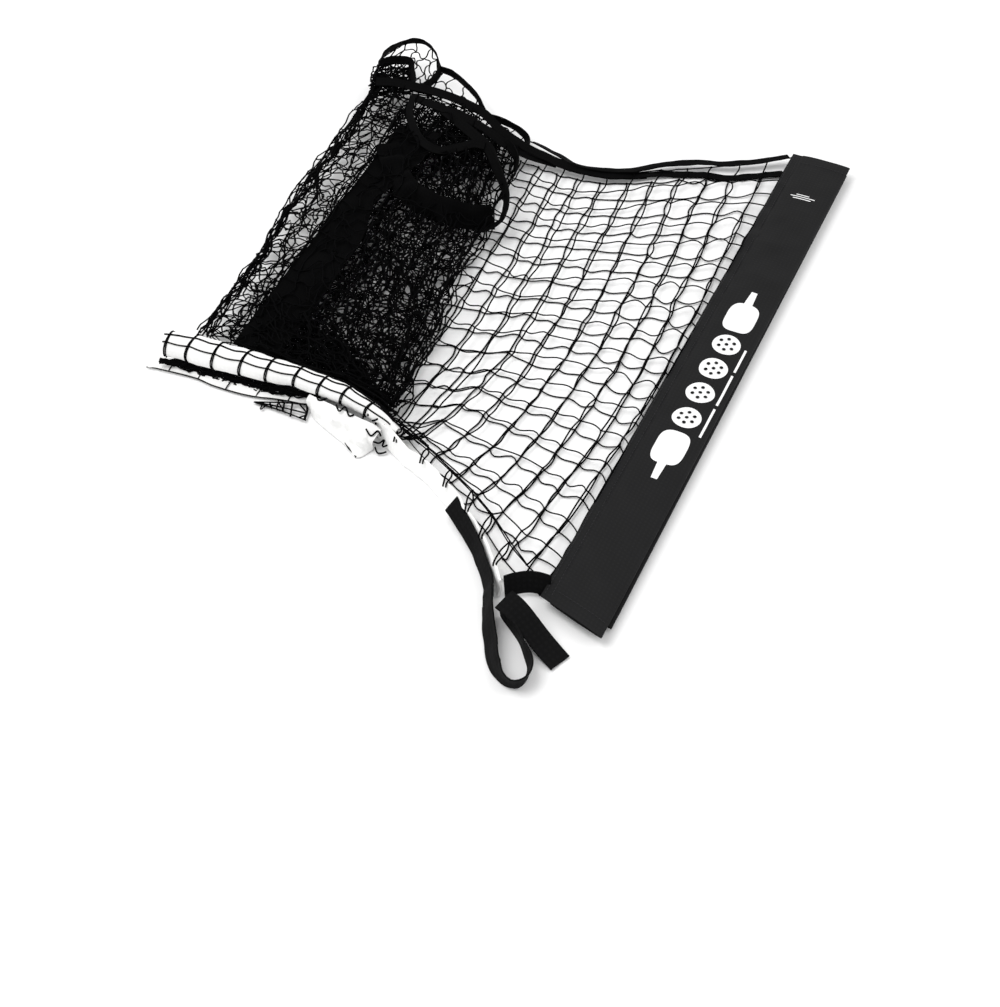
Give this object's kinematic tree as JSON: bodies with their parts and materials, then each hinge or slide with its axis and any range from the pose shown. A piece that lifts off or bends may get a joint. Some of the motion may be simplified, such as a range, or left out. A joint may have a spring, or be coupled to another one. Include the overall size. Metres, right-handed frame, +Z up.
{
  "type": "folded pickleball net",
  "caption": "Folded sports net lying flat: a stack of black netting with a white headband, two flat leaves running to fabric post sleeves, binding tape and a webbing strap.",
  "frame": {"origin": "centre of the bounding box's bottom face, on the floor under the folded net", "axes": "+Y along the post sleeves, from the headband to the bottom binding; +X from the folded stack to the sleeves; +Z up"},
  "size_m": [0.63, 0.8798, 0.0476],
  "materials": {
    "netting": "black knotted twine",
    "sleeve_cloth": "black woven polyester",
    "headband_tape": "white woven tape",
    "binding_tape": "black woven tape",
    "strap_webbing": "black hook-and-loop webbing"
  },
  "bodies": {
    "folded_net": {"netting_folded_stack": "netting", "netting_outer_fold": "netting", "netting_far_fold": "netting", "netting_lower_panel": "netting", "centre_band": "sleeve_cloth", "headband_stack_roll": "headband_tape", "headband_stack_lower_run": "headband_tape", "headband_rolled_end": "headband_tape", "headband_lower_run": "headband_tape", "binding_lower_run": "binding_tape", "binding_fold_loop_1": "binding_tape", "binding_fold_loop_2": "binding_tape", "binding_fold_loop_3": "binding_tape", "binding_stack_run": "binding_tape", "binding_inner_loop": "binding_tape", "post_sleeve_b": "sleeve_cloth", "sleeve_b_seam_tape": "sleeve_cloth"},
    "upper_leaf": {"netting_upper_panel": "netting", "headband_upper_run": "headband_tape", "binding_upper_run": "binding_tape", "tension_strap_bridge": "strap_webbing", "headband_end_tack": "strap_webbing"},
    "sleeve_a": {"post_sleeve_a": "sleeve_cloth", "sleeve_a_seam_tape": "sleeve_cloth"},
    "strap_loop": {"tension_strap_loop": "strap_webbing"},
    "strap_tab": {"tension_strap_tab": "strap_webbing"},
    "strap_tail": {"tension_strap_tail": "strap_webbing"}
  },
  "joints": [
    {"name": "leaf_turn", "type": "hinge", "parent": "folded_net", "child": "upper_leaf", "pos_m": [-0.018, 0, 0.031], "axis": [0.1386, -0.9903, 0], "range_deg": [0, 155]},
    {"name": "sleeve_fold", "type": "hinge", "parent": "upper_leaf", "child": "sleeve_a", "pos_m": [0.2395, 0, 0.014], "axis": [0, -1, 0], "range_deg": [0, 115]},
    {"name": "strap_lift", "type": "hinge", "parent": "upper_leaf", "child": "strap_loop", "pos_m": [0.2015, -0.3635, 0.012], "axis": [-0.7828, -0.6222, 0], "range_deg": [0, 75]},
    {"name": "tab_lift", "type": "hinge", "parent": "strap_loop", "child": "strap_tab", "pos_m": [0.224, -0.366, 0.0225], "axis": [-0.4288, -0.9034, 0], "range_deg": [0, 90]},
    {"name": "tail_swing", "type": "hinge", "parent": "upper_leaf", "child": "strap_tail", "pos_m": [0.19, -0.359, 0.012], "axis": [0, 0, 1], "range_deg": [0, 80]}
  ]
}
